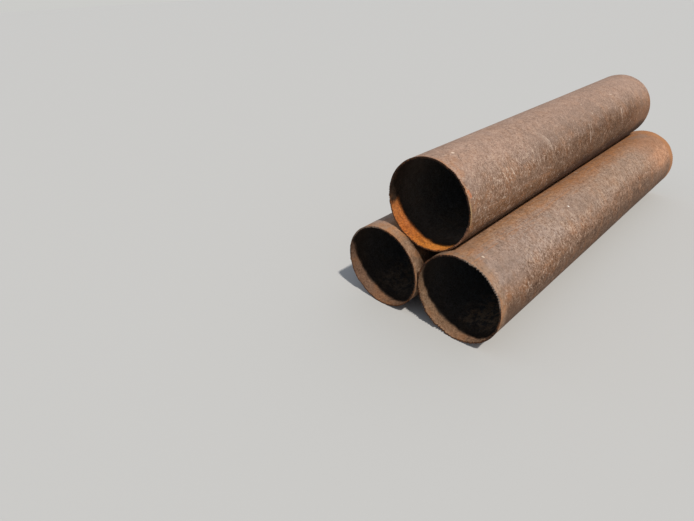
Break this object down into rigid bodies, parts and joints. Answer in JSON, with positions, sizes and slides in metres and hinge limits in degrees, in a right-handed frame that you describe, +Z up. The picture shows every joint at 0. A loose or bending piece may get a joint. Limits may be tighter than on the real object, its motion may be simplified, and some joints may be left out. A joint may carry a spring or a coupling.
{
  "type": "bundle of iron pipes",
  "caption": "Loose pyramid of large, thin-walled, rusty pipes of one size, torch-cut at the ends, lying level as salvaged stock.",
  "frame": {"origin": "middle of the footprint, on the ground the lower pipes lie on", "axes": "+X along the pipes, from the near mouths to the far ends; +Y from the lower front pipe to the lower back pipe; +Z up"},
  "size_m": [2.245, 0.813, 0.7586],
  "materials": {
    "rusty_pipe": "matte"
  },
  "bodies": {
    "root": {"lower_front_pipe": "rusty_pipe", "lower_back_pipe": "rusty_pipe", "top_pipe": "rusty_pipe"}
  },
  "joints": []
}
